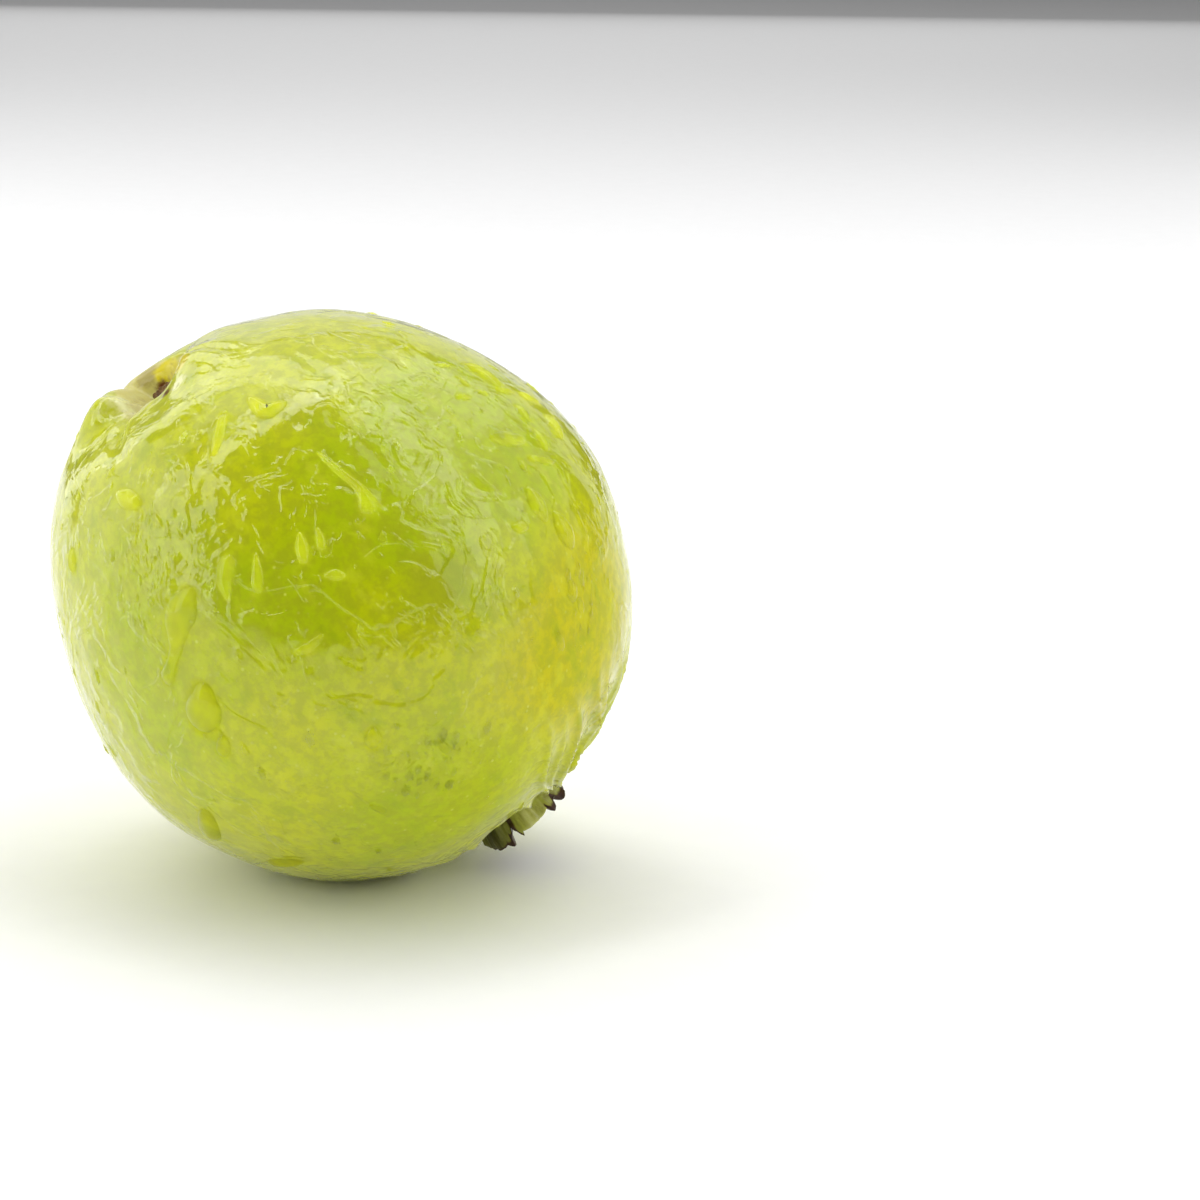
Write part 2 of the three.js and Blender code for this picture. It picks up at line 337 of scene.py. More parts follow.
DIPS = [  # near the crown: depth, where round it, half angle, how far from the axis, spread
    (1.3, -8, 24, 16, 6), (-0.35, 38, 15, 16, 5), (1.9, -66, 30, 18.5, 5), (-0.8, -19, 9, 15, 5),
    (-0.8, -4, 26, 13.5, 4.5),
]
SHELVES = [  # how far the stem end is sunk, first angle and how soft, last and how soft, reach
    (3.1, -20, 35, 75, 12, 21), (1.0, 120, 13, 238, 13, 17), (-0.4, 76, 10, 100, 10, 17),
    (0.5, 238, 14, 300, 14, 22), (1.0, 36, 14, 72, 12, 13),
]
RIDGES = [  # where round the crown, how high, width of the crest in mm, how far out it runs
    (-24.5, 1.1, 0.5, 35), (-30, 0.9, 0.45, 32), (-36, 1.3, 0.5, 35), (-43, 0.8, 0.5, 28),
    (-52, 1.5, 0.5, 34), (-58, 1.2, 0.5, 33), (-66, 1.4, 0.6, 33), (-75, 1.3, 0.7, 33),
    (-87, 1.1, 0.9, 32), (-104, 0.9, 1.2, 30), (-124, 0.7, 1.3, 28), (24, 0.6, 0.8, 21),
    (-12, 0.6, 0.6, 24), (4, 0.4, 0.7, 18), (150, 0.6, 1.5, 26), (188, 0.6, 1.4, 27),
    (212, 0.7, 1.4, 30), (64, 0.4, 1.1, 22), (104, 0.5, 1.4, 24),
]
RIDGE_FOOT = 0.7  # how far the skin between ridges is sunk, as a share of their height
SWAY = 3.0  # degrees by which a ridge wanders as it runs out

at_crown = theta > np.pi / 2
dips = np.zeros_like(radius)
for depth, at, width, far, spread in DIPS:
    dips = dips - depth * bell(turn(phi, rad(at)), rad(width)) * bell(radius - far, spread)
shelves = np.zeros_like(radius)
for depth, first, first_soft, last, last_soft, reach in SHELVES:
    middle, half = rad((first + last) / 2), (last - first) / 2
    off = np.degrees(turn(phi, middle))
    inside = fade(-half - first_soft, -half + first_soft, off)
    inside = inside * fade(half + last_soft, half - last_soft, off)
    shelves = shelves - depth * inside * fade(reach, reach * 0.43, radius)
ridges = np.zeros_like(radius)
for at, high, width, reach in RIDGES:
    sway = rad(at + SWAY * np.sin(radius * 0.33 + at))
    off = np.hypot(turn(phi, sway) * np.maximum(radius, 6), 0.12) - 0.12
    along = fade(reach, reach * 0.62, radius) * fade(7.5, 10.5, radius)
    crest = high * np.exp(-off / (width * np.maximum(radius, 12) / 18)) * along
    ridges = np.maximum(ridges, crest)
ridge_zone = bell(turn(phi, rad(-58)), rad(46)) * fade(34, 24, radius) * fade(7.5, 11, radius)
ridges = ridges - RIDGE_FOOT * ridge_zone
dents = 0.16 * wobble(rough_place, 11, 1, 1.6) + 0.07 * wobble(rough_place, 5, 2, 1.5)
to_crown = fade(34, 14, radius) * fade(6, 11, radius)
creases = wobble(rough_place, 2.6, 3, 2.6) * 0.22 + wobble(rough_place, 5.5, 4, 3) * 0.3
extra = dents + np.where(at_crown, creases * to_crown + ridges + dips, shelves)
radius, height = skin(theta, phi, extra)
placed = place(radius, height, phi)
placed[:, 2] = np.maximum(placed[:, 2], 0)
skin_mesh.vertices.foreach_set("co", (placed * MM).ravel())
skin_mesh.shade_smooth()
skin_mesh.update()
guava_skin = bpy.data.objects.new("guava_skin", skin_mesh)
bpy.context.scene.collection.objects.link(guava_skin)
print(len(skin_mesh.vertices), "points, lowest", round(placed[:, 2].min(), 2), "mm")

# %% [markdown]
# ## Where the colours lie
#
# A guava ripens unevenly: one cheek turns yellow first, the shaded side stays green longer, and
# rubbed places go olive. Such places have soft edges and no pattern, so they are set as a few
# centres on the skin, each with a reach. The nearer a point is, the more it takes. The result is
# stored on the mesh as one number a point for each kind, and the material mixes its colours by
# those numbers.
#
# Round the hollow a few kinds are painted light and shade as well as colour: the brown is painted
# shade for the hollow's dark opening, the grey is partly painted shade on its wall, and the cream
# partly a painted sheen. A place that is set along a line of sight lies on whatever that line
# meets first. Round the hollow a few lines meet its near lip, so those marks lie outside the
# hollow, and show there from the stalk end. Angles round the axis would be the safer way to place
# them.

# %% Colour places
tree_of_skin = BVHTree.FromPolygons(
    placed.tolist(), [list(p.vertices) for p in skin_mesh.polygons])


def on_skin(x, y):
    """The point of the skin that is seen at a pixel, and its normal."""
    start, ray = sight(x, y)
    spot, normal, _, _ = tree_of_skin.ray_cast(start, ray)
    return spot, normal


PLACES = {  # (x, y) seen, reach in mm, strength
    "ripe": [(600, 600, 11, 1.0), (565, 650, 9, 0.8), (600, 690, 9, 0.7), (500, 690, 9, 0.3),
             (480, 800, 12, 0.2)],
    "green": [(455, 425, 14, 0.9), (400, 470, 10, 0.5), (130, 600, 13, 0.5), (165, 740, 12, 0.5),
              (290, 620, 9, 0.7), (240, 590, 6, 0.4), (392, 552, 3, 0.6), (510, 450, 10, 0.6),
              (330, 500, 9, 0.4), (460, 575, 7, 0.4), (470, 770, 14, 0.5), (410, 830, 12, 0.5)],
    "dry": [(590, 600, 10, 0.8), (585, 640, 9, 0.9), (560, 670, 7, 0.7),
            (500, 780, 10, 0.6), (440, 820, 12, 0.5)],
    "tan": [(133, 386, 3.0, 0.9), (146, 380, 3.0, 1.0), (158, 374, 2.6, 0.8), (140, 396, 2.4, 0.8),
            (152, 398, 2.2, 0.8), (128, 393, 2.5, 0.4), (143, 407, 2.2, 0.6),
            (130, 400, 2.2, 0.5)],
    # partly painted shade: the grey places darken patches of the hollow's far wall that lie in
    # shade
    "grey": [(148, 373, 1.8, 0.9), (146, 382, 1.4, 0.6)],
    "gold": [(180, 363, 1.8, 1.3), (171, 368, 1.8, 1.2), (163, 374, 1.4, 1.0)],
    # partly painted sheen: the cream places stand for the mirrored veil on the lobe left of the
    # hollow and by its near lip
    "cream": [(111, 408, 3.0, 0.4), (120, 398, 3.0, 0.5), (180, 380, 1.5, 0.6),
              (174, 388, 1.5, 0.5)],
    # painted shade: the brown places darken the hollow's dark opening and the slit under its near
    # lip
    "brown": [(163, 388, 1.4, 1.0), (166, 393, 1.2, 0.8)],
    "bruise": [(430, 610, 6, 0.5), (300, 410, 5, 0.5), (440, 575, 4, 0.4), (150, 680, 5, 0.3),
               (352, 484, 1.5, 0.7), (395, 530, 1.5, 0.7), (455, 575, 1.8, 0.6)],
}


def paint(mesh, name, values):
    layer = mesh.attributes.new(name, "FLOAT", "POINT")
    layer.data.foreach_set("value", np.ascontiguousarray(values, dtype=np.float32))


for kind, centres in PLACES.items():
    total = np.zeros(len(placed))
    for x, y, reach, strength in centres:
        spot, _ = on_skin(x, y)
        far = np.linalg.norm(placed - np.array(spot), axis=1)
        total = total + strength * bell(far, reach)
    paint(skin_mesh, kind, np.clip(total, 0, 1))
    print(kind, "covers", round(float((total > 0.3).mean() * 100), 1), "% of the points")

stem_end = (theta < np.pi / 2) * 1.0
stained = 7.0 + 3.0 * bell(turn(phi, rad(62)), rad(30))  # the stain runs out at one side
paint(skin_mesh, "hollow", stem_end * fade(stained, stained * 0.65, radius))
CALM_PLACES = [(552, 430), (566, 512), (521, 394)]  # where the film lies smooth
calm = stem_end * fade(36, 16, radius)
for x, y in CALM_PLACES:
    spot, _ = on_skin(x, y)
    calm = np.maximum(calm, 0.75 * fade(24, 9, np.linalg.norm(placed - np.array(spot), axis=1)))
paint(skin_mesh, "calm", calm)
# The bottom of the hollow is mixed towards umber: partly the brown scar round the stalk, partly
# painted shade of its depth.
paint(skin_mesh, "deep", stem_end * fade(4.4, 2.4, radius))

# %% Helpers for materials


def node(tree, kind, inputs=(), **settings):
    """A new shader node; each input is a number, a colour or another node's output."""
    made = tree.nodes.new("ShaderNode" + kind)
    for name, value in settings.items():
        setattr(made, name, value)
    for socket, value in dict(inputs).items():
        if isinstance(value, bpy.types.NodeSocket):
            tree.links.new(value, made.inputs[socket])
        else:
            made.inputs[socket].default_value = value
    return made


def material(name):
    made = bpy.data.materials.new(name)
    made.use_nodes = True
    tree = made.node_tree
    return made, tree, tree.nodes["Principled BSDF"]


def mixed(tree, share, first, second):
    made = node(tree, "Mix", {0: share, 6: first, 7: second}, data_type="RGBA")
    return made.outputs[2]


def stepped(tree, value, low, high, to_low=0.0, to_high=1.0):
    made = node(tree, "MapRange", {"Value": value, "From Min": low, "From Max": high,
                "To Min": to_low, "To Max": to_high}, interpolation_type="SMOOTHSTEP")
    return made.outputs["Result"]


def sums(tree, how, first, second):
    return node(tree, "Math", {0: first, 1: second}, operation=how).outputs[0]


def cloud(tree, where, size, detail=2.0, rough=0.5, swirl=0.0):
    """Noise whose blotches are about size millimetres across."""
    made = node(tree, "TexNoise", {"Vector": where, "Scale": 1 / (size * MM), "Detail": detail,
                "Roughness": rough, "Distortion": swirl})
    return made.outputs["Fac"]


def stored(tree, name):
    return node(tree, "Attribute", attribute_name=name).outputs["Fac"]


def axis_place(tree, squeeze=1.0):
    """Object coordinates turned so that Z is the fruit's axis, and drawn out along it."""
    place_in = node(tree, "TexCoord").outputs["Object"]
    turned = node(tree, "Mapping", {"Vector": place_in, "Rotation": (0, LEAN, 0)})
    drawn = node(tree, "Mapping", {"Vector": turned.outputs[0], "Scale": (1, 1, squeeze)})
    return drawn.outputs[0]


# %% [markdown]
# ## The skin's finish
#
# Under the water the skin is smooth, waxy and slightly see-through, so light goes a little way in
# and comes out softened: that is subsurface scattering, over about a millimetre. The film of water
# is the shader's coat, with almost no roughness. Its index is 1.55 and not water's 1.33, to make
# the mirrored lamps stronger, which is a choice of looks. The film isn't even: it gathers in flat
# pools with rounded edges. A noise with its middle range steepened gives such pools, and as the
# bump of the coat alone it bends the mirrored lamps and leaves the skin as it is.
#
# Under a standing drop the coat is taken away, because the drop is the water there. The skin is
# also painted a little lighter there, which is painted light: a real drop gathers light on what
# lies under it, and these don't.

# %% Skin material
YELLOW_GREEN = (0.57, 0.60, 0.003, 1)
GREEN = (0.44, 0.54, 0.004, 1)
RIPE = (0.58, 0.535, 0.002, 1)
OLIVE = (0.37, 0.39, 0.02, 1)
PALE_DOT = (0.72, 0.76, 0.16, 1)
DEEP_GREEN = (0.33, 0.42, 0.004, 1)
PALE_FLECK = (0.66, 0.70, 0.05, 1)
TAN = (0.58, 0.53, 0.16, 1)
GREY_AND_SHADE = (0.41, 0.35, 0.10, 1)
GOLD = (0.70, 0.61, 0.03, 1)
# Umber is partly the brown scar in the hollow and partly painted shade of its depth and dark
# opening.
UMBER_AND_SHADE = (0.15, 0.06, 0.006, 1)
LIT_THROUGH = (0.80, 0.80, 0.06, 1)  # the skin under a drop is mixed with a little of this
STAIN = (0.27, 0.19, 0.07, 1)
# Cream is the hollow wall's own pale tone, and at the cream places partly a painted sheen.
CREAM_AND_SHEEN = (0.70, 0.70, 0.27, 1)
WATER_INDEX = 1.333
FILM_INDEX = 1.55

skin_finish, tree, shader = material("wet_guava_skin")
even = axis_place(tree)
drawn = axis_place(tree, 0.6)
blotch = cloud(tree, even, 7, 4, 0.6)
streak = cloud(tree, drawn, 3.5, 3, 0.6)
colour = mixed(tree, stepped(tree, sums(tree, "ADD", stored(tree, "green"),
               sums(tree, "MULTIPLY", blotch, 0.9)), 0.35, 1.25), YELLOW_GREEN, GREEN)
ripeness = stepped(tree, sums(tree, "ADD", stored(tree, "ripe"),
                   sums(tree, "MULTIPLY", streak, 0.5)), 0.3, 0.95)
colour = mixed(tree, ripeness, colour, RIPE)
bruised = stepped(tree, sums(tree, "ADD", stored(tree, "bruise"),
                  sums(tree, "MULTIPLY", cloud(tree, even, 3, 4, 0.65), 0.8)), 0.55, 1.1)
colour = mixed(tree, sums(tree, "MULTIPLY", bruised, 0.55), colour, OLIVE)
dots = node(tree, "TexVoronoi", {"Vector": even, "Scale": 1 / (1.7 * MM), "Randomness": 1.0})
dot = stepped(tree, dots.outputs["Distance"], 0.19, 0.07)
dot = sums(tree, "MULTIPLY", dot, stepped(tree, streak, 0.3, 0.7))
colour = mixed(tree, sums(tree, "MULTIPLY", dot, 0.7), colour, PALE_DOT)
colour = mixed(tree, stepped(tree, streak, 0.35, 0.7, 0.0, 0.22), colour, GREEN)
mottle = cloud(tree, even, 1.6, 4, 0.65)
colour = mixed(tree, stepped(tree, mottle, 0.38, 0.62, 0.0, 0.5), colour, OLIVE)
fleck = cloud(tree, drawn, 4.5, 5, 0.65, 0.3)
colour = mixed(tree, stepped(tree, fleck, 0.52, 0.68, 0.0, 0.45), colour, DEEP_GREEN)
colour = mixed(tree, stepped(tree, fleck, 0.46, 0.32, 0.0, 0.3), colour, PALE_FLECK)
grain = sums(tree, "MULTIPLY", sums(tree, "SUBTRACT", cloud(tree, even, 1.2, 3, 0.65), 0.5), 0.9)
# Colours laid over the skin by stored shares: tan and gold are the skin's own; umber is the scar's
# brown and painted shade; grey is partly painted shade; cream is partly a painted sheen.
for laid_colour, share in ((TAN, sums(tree, "MAXIMUM", stored(tree, "hollow"), stored(tree, "tan"))),
                     (CREAM_AND_SHEEN, stored(tree, "cream")), (GREY_AND_SHADE, stored(tree, "grey")),
                     (GOLD, stored(tree, "gold")),
                     (UMBER_AND_SHADE, sums(tree, "MAXIMUM", stored(tree, "deep"), stored(tree, "brown")))):
    colour = mixed(tree, stepped(tree, sums(tree, "ADD", share, grain), 0.25, 0.85), colour, laid_colour)
waxy = stepped(tree, cloud(tree, even, 2.4, 4, 0.6), 0.47, 0.64, 0, 0.8)
gold_and_umber = sums(tree, "ADD", stored(tree, "deep"), stored(tree, "gold"))
wall_left = sums(tree, "SUBTRACT", stored(tree, "hollow"), gold_and_umber)
wall_left = node(tree, "Clamp", {"Value": wall_left}).outputs[0]
colour = mixed(tree, sums(tree, "MULTIPLY", waxy, wall_left), colour, CREAM_AND_SHEEN)
fibres = stepped(tree, cloud(tree, axis_place(tree, 0.35), 1.3, 4, 0.65), 0.5, 0.72, 0, 0.6)
colour = mixed(tree, sums(tree, "MULTIPLY", fibres, stored(tree, "hollow")), colour, STAIN)
# Painted light: under each drop the skin is mixed a little towards LIT_THROUGH, for the light a
# real drop gathers there.
painted_drop_light = sums(tree, "MULTIPLY", stored(tree, "under_drop"), 0.16)
colour = mixed(tree, painted_drop_light, colour, LIT_THROUGH)
tree.links.new(colour, shader.inputs["Base Color"])

fine = cloud(tree, even, 1.1, 3, 0.6)
pores = sums(tree, "ADD", sums(tree, "MULTIPLY", fine, 0.35), sums(tree, "MULTIPLY", dot, 0.3))
skin_bump = node(tree, "Bump", {"Height": pores, "Strength": 0.25, "Distance": 0.0003})
tree.links.new(skin_bump.outputs[0], shader.inputs["Normal"])
shader.inputs["Roughness"].default_value = 0.42
shader.inputs["Specular IOR Level"].default_value = 0.2
shader.inputs["Subsurface Weight"].default_value = 0.25
shader.inputs["Subsurface Radius"].default_value = (1.0, 0.9, 0.25)
shader.inputs["Subsurface Scale"].default_value = 0.0015

SMALL_POOL_SHARE, SWELL_SHARE = 0.85, 2.4  # heights, where a broad pool's is 1

pool = stepped(tree, cloud(tree, even, 10, 3, 0.5, 1.2), 0.46, 0.54)
small_pool = stepped(tree, cloud(tree, drawn, 3.0, 2, 0.5, 0.6), 0.56, 0.68)
swell = cloud(tree, drawn, 6, 1, 0.5, 0.4)
rough_patch = stepped(tree, cloud(tree, even, 9, 2, 0.5), 0.48, 0.62, 0.1, 0.5)
ripple = sums(tree, "MULTIPLY", cloud(tree, even, 1.6, 2, 0.55), rough_patch)
film = sums(tree, "ADD", pool, sums(tree, "MULTIPLY", small_pool, SMALL_POOL_SHARE))
film = sums(tree, "ADD", film, sums(tree, "MULTIPLY", swell, SWELL_SHARE))
film = sums(tree, "ADD", film, ripple)
film = sums(tree, "MULTIPLY", film, stepped(tree, stored(tree, "calm"), 0, 1, 1, 0.3))
film_bump = node(tree, "Bump", {"Height": film, "Strength": 1.0, "Distance": 0.0002})
tree.links.new(film_bump.outputs[0], shader.inputs["Coat Normal"])
dry = sums(tree, "MAXIMUM", stored(tree, "dry"), sums(tree, "MULTIPLY", stored(tree, "tan"), 0.7))
dry = sums(tree, "MAXIMUM", dry, stored(tree, "under_drop"))
tree.links.new(sums(tree, "SUBTRACT", 1.0, sums(tree, "MULTIPLY", dry, 0.9)),
               shader.inputs["Coat Weight"])
shader.inputs["Coat Roughness"].default_value = 0.05
shader.inputs["Coat IOR"].default_value = FILM_INDEX
skin_mesh.materials.append(skin_finish)

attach(guava_skin, "root")
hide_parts("fruit")

# %% [markdown]
# ## The dried crown
#
# The crown is what is left of the flower: a short fleshy tube with a ragged, dried edge. Its foot
# is alive and green like the skin; only the sepals' torn edges have dried brown and then black.
# It is round at heart, so it starts as half of its section, spun into a full ring. The section
# goes up the outside, over the torn edge and down inside to the disc with the style's scar. Each
# sepal then lifts and bends its own part of the edge.

# %% Crown
CROWN = dict(root=33, disc=37.3, edge=38.8, foot=6.3, waist=6, mouth=6.8, wall=1.15, folds=0.22)
FOLD_COUNT = 9
STYLE_SCAR = dict(radius=1.1, height=0.9)
SEPALS = [  # where round the mouth, half width, height, how far it bends out, how dry
    (50, 27, 1.6, 0.1, 0.3), (27, 5, 1.9, 0.2, 1.0), (9, 5, 1.5, 0.3, 0.5),
    (-14, 22, 0.9, 0.1, 0.0), (-43, 7, 1.3, 0.3, 0.9), (-66, 10, 1.3, 0.7, 1.0),
    (112, 22, 1.6, -0.3, 0.8), (160, 20, 2.1, 0.3, 0.9), (206, 20, 1.5, 0.8, 0.7),
    (254, 24, 1.8, -0.2, 0.9),
]
NOTCH = dict(at=rad(12), width=rad(4.2), depth=1.4)  # a tear that runs down into the tube
SPIN_STEPS = 180


def spun(name, section, steps, cuts, smoothing):
    """A ring of faces from half a section given as (radius, height), closed at both poles."""
    bm = bmesh.new()
    line = [bm.verts.new((radius, 0, height)) for radius, height in section]
    edges = [bm.edges.new(pair) for pair in zip(line, line[1:])]
    bmesh.ops.subdivide_edges(bm, edges=edges, cuts=cuts)
    inner = [v for v in bm.verts if v not in (line[0], line[-1]) and v.co.x > 0]
    for _ in range(smoothing):
        bmesh.ops.smooth_vert(bm, verts=inner, factor=0.5, use_axis_x=True, use_axis_z=True)
    bmesh.ops.spin(bm, geom=bm.verts[:] + bm.edges[:], cent=(0, 0, 0), axis=(0, 0, 1),
                   dvec=(0, 0, 0), angle=2 * np.pi, steps=steps, use_merge=True)
    bmesh.ops.remove_doubles(bm, verts=bm.verts[:], dist=1e-4)
    bmesh.ops.recalc_face_normals(bm, faces=bm.faces[:])
    mesh = bpy.data.meshes.new(name)
    bm.to_mesh(mesh)
    bm.free()
    flat = np.empty(len(mesh.vertices) * 3)
    mesh.vertices.foreach_get("co", flat)
    x, y, z = flat.reshape(-1, 3).T
    return mesh, np.hypot(x, y), z, np.arctan2(y, x)


def grown(name, mesh, places, finish, node_name):
    """Puts a mesh at its places, in millimetres, and lets it stand for its solid."""
    mesh.vertices.foreach_set("co", (places * MM).ravel())
    mesh.shade_smooth()
    mesh.update()
    mesh.materials.append(finish)
    piece = bpy.data.objects.new(name, mesh)
    bpy.context.scene.collection.objects.link(piece)
    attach(piece, "root")
    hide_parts(node_name)
    print(name, len(mesh.polygons), "faces")


def sepal_at(phi):
    """Height, outward bend and dryness of the crown's edge; the tallest sepal wins."""
    rise, curl, dry = np.zeros_like(phi), np.zeros_like(phi), np.zeros_like(phi)
    for at, width, height, bend, dryness in SEPALS:
        share = np.exp(-((turn(phi, rad(at)) / rad(width)) ** 4))
        wins = share * height > rise
        rise, curl = np.where(wins, share * height, rise), np.where(wins, share * bend, curl)
        dry = np.where(wins, dryness, dry)
    return rise, curl, dry


tip = CROWN["edge"] + 1
mouth, wall = CROWN["mouth"], CROWN["wall"]
section = [
    (0, CROWN["root"]), (CROWN["foot"] * 0.6, CROWN["root"]), (CROWN["foot"], CROWN["root"]),
    (CROWN["foot"], CROWN["root"] + 1.2), (CROWN["waist"], CROWN["root"] + 2.4),
    (CROWN["waist"] + 0.15, CROWN["disc"] - 0.6), (mouth, CROWN["edge"]),
    (mouth + 0.1, CROWN["edge"] + 0.5), (mouth, tip), (mouth - wall * 0.5, tip),
    (mouth - wall, CROWN["edge"] + 0.4), (mouth - wall * 1.2, CROWN["edge"] - 0.4),
    (mouth - wall * 1.8, CROWN["disc"] + 0.1), (STYLE_SCAR["radius"] * 2.4, CROWN["disc"]),
    (STYLE_SCAR["radius"], CROWN["disc"] + 0.1),
    (STYLE_SCAR["radius"] * 0.55, CROWN["disc"] + STYLE_SCAR["height"]),
    (0, CROWN["disc"] + STYLE_SCAR["height"]),
]
crown_mesh, radius, height, phi = spun("blossom_crown", section, SPIN_STEPS, 4, 3)
rise, curl, dry = sepal_at(phi)
torn = 1 + 0.10 * dry * (np.sin(17 * phi + 1) + 0.7 * np.sin(29 * phi + 2.5))
up = np.clip((height - CROWN["edge"]) / (tip - CROWN["edge"]), 0, None)
outer = fade(CROWN["foot"] / 2, CROWN["foot"], radius)
fold = CROWN["folds"] * np.cos(FOLD_COUNT * phi) * fade(CROWN["root"], CROWN["edge"], height)
fine_fold = 0.07 * np.sin(31 * phi + 2 * np.sin(3 * phi)) + 0.05 * np.sin(53 * phi)
radius = radius + up ** 2 * curl + (fold + fine_fold) * outer
height = height + up * (rise * torn - 1)
from_tip = CROWN["edge"] + rise - height
tear = NOTCH["depth"] * np.exp(-(turn(phi, NOTCH["at"]) / NOTCH["width"]) ** 4)
height = height - tear * fade(CROWN["disc"] + 0.2, CROWN["edge"] + 0.6, height)
dried = fade(1.5 * dry, 0.3 * dry, from_tip) * (dry > 0.1)
paint(crown_mesh, "dried", np.clip(dried + tear / NOTCH["depth"] * 0.8, 0, 1))
# Painted shade: the crown's side that lies under the fruit, towards the floor, is painted dark
# olive.
paint(crown_mesh, "shaded", bell(turn(phi, rad(50)), rad(30)))
# Partly painted sheen: the wet wall between two sepals on the near side is painted pale, its own
# paler tone together with the lamps mirrored in its water.
paint(crown_mesh, "pale", bell(turn(phi, rad(-16)), rad(17)))
# The inside of the mouth is painted near black: the dried brown of its wall and painted shade down
# in the tube.
paint(crown_mesh, "inside", fade(mouth - wall * 0.5, mouth - wall * 1.1, radius)
      * fade(CROWN["disc"] - 1, CROWN["disc"] - 0.2, height))
crown_places = place(radius, height, phi)

# %% Crown material
CROWN_GREEN = (0.38, 0.40, 0.07, 1)
CROWN_OLIVE = (0.22, 0.21, 0.025, 1)
SHADED_OLIVE = (0.075, 0.07, 0.004, 1)
PALE_WALL_AND_SHEEN = (0.50, 0.50, 0.16, 1)
DRIED_BROWN = (0.065, 0.028, 0.012, 1)
CHARRED = (0.012, 0.009, 0.008, 1)
INNER_BROWN_AND_SHADE = (0.035, 0.02, 0.008, 1)

crown_finish, tree, shader = material("dried_crown")
even = axis_place(tree)
fibre = cloud(tree, axis_place(tree, 0.25), 0.7, 4, 0.6)
patchy = cloud(tree, even, 1.6, 3, 0.6)
green_part = mixed(tree, stepped(tree, patchy, 0.35, 0.7), CROWN_GREEN, CROWN_OLIVE)
# painted shade on the side under the fruit
green_part = mixed(tree, stored(tree, "shaded"), green_part, SHADED_OLIVE)
# partly painted sheen on the pale, wet wall
green_part = mixed(tree, sums(tree, "MULTIPLY", stored(tree, "pale"), stepped(
    tree, patchy, 0.3, 0.6, 0.5, 1.0)), green_part, PALE_WALL_AND_SHEEN)
dryness = sums(tree, "ADD", stored(tree, "dried"), sums(tree, "MULTIPLY",
               sums(tree, "SUBTRACT", patchy, 0.5), 0.5))
colour = mixed(tree, stepped(tree, dryness, 0.15, 0.75), green_part, DRIED_BROWN)
colour = mixed(tree, stepped(tree, dryness, 0.85, 1.25), colour, CHARRED)
# dried brown and painted shade inside the mouth
colour = mixed(tree, stored(tree, "inside"), colour, INNER_BROWN_AND_SHADE)
colour = mixed(tree, stepped(tree, fibre, 0.45, 0.8, 0, 0.35), colour, DRIED_BROWN)
tree.links.new(colour, shader.inputs["Base Color"])
rough = stepped(tree, dryness, 0.1, 0.6, 0.35, 0.75)
tree.links.new(rough, shader.inputs["Roughness"])
shader.inputs["Coat Weight"].default_value = 0.6
shader.inputs["Coat Roughness"].default_value = 0.07
shader.inputs["Coat IOR"].default_value = WATER_INDEX
crown_bump = node(tree, "Bump", {"Height": fibre, "Strength": 0.5, "Distance": 0.0003})
tree.links.new(crown_bump.outputs[0], shader.inputs["Normal"])
grown("blossom_crown", crown_mesh, crown_places, crown_finish, "calyx")

# %% [markdown]
# ## The end of the stalk
#
# At the bottom of the hollow sits what is left of the stalk: a knob of dry wood, broken off short.
# It is the same kind of spun piece, with a slightly three-sided outline, a slanted break and
# fibres that stand out unevenly.

# %% Stalk end
STUB = dict(radius=1.9, top=-39.9, root=-36.4, rim=0.4, slant=0.2, unround=0.06)
stub_radius, stub_top = STUB["radius"], STUB["top"]
section = [
    (0, stub_top + STUB["rim"]), (stub_radius * 0.3, stub_top + STUB["rim"] * 0.8),
    (stub_radius * 0.62, stub_top), (stub_radius * 0.88, stub_top + STUB["rim"] * 0.4),
    (stub_radius, stub_top + STUB["rim"] * 1.6), (stub_radius * 1.04, STUB["root"]),
    (0, STUB["root"]),
]
stub_mesh, radius, height, phi = spun("stalk_end", section, 64, 5, 2)
torn = 0.12 * np.sin(7 * phi + 5 * radius) + 0.08 * np.sin(13 * phi + 3)
up = fade(STUB["root"], stub_top, height)
height = height + STUB["slant"] * np.cos(phi) * radius / stub_radius * up
height = height - torn * fade(0.3, 1.2, radius) * fade(0.8, 1, up)
radius = radius * (1 + STUB["unround"] * np.cos(3 * phi) + 0.03 * np.sin(11 * phi))
stub_places = place(radius, height, phi)
towards = CAVITY["towards"]
move = CAVITY["offset"] * (np.sin(towards) * AXES[0] + np.cos(towards) * AXES[2])
stub_places = stub_places + move

STALK_PALE, STALK_DARK = (0.23, 0.13, 0.035, 1), (0.085, 0.038, 0.010, 1)

stalk_finish, tree, shader = material("broken_stalk")
wood = cloud(tree, axis_place(tree, 0.2), 0.4, 4, 0.6)
tree.links.new(mixed(tree, stepped(tree, wood, 0.3, 0.7), STALK_PALE, STALK_DARK),
               shader.inputs["Base Color"])
shader.inputs["Roughness"].default_value = 0.7
wood_bump = node(tree, "Bump", {"Height": wood, "Strength": 0.6, "Distance": 0.0003})
tree.links.new(wood_bump.outputs[0], shader.inputs["Normal"])
grown("stalk_end", stub_mesh, stub_places, stalk_finish, "stalk_stub")

# %% [markdown]
# ## Drops of water
#
# A drop on a waxy skin is a low dome with a rounded foot, longer down the slope than across it,
# and a running drop leaves a rivulet. Each is a sphere to start with. Its equator becomes the
# drop's outline on the skin, its upper half the dome, and its lower half dips just under the skin,
# so no gap shows. The same moves draw a drop out along a path for a rivulet. Small beads are the
# same again with fewer faces, because there are hundreds. The water is clear: transmission with an
# index of 1.333. It throws no shadow, because clear water lets nearly all light through.
#
# A path mustn't turn sharply for its width, or the drop folds through itself. The one at
# (252, 400) does, and a dark speck shows there. Gentler turns in its path should mend it.

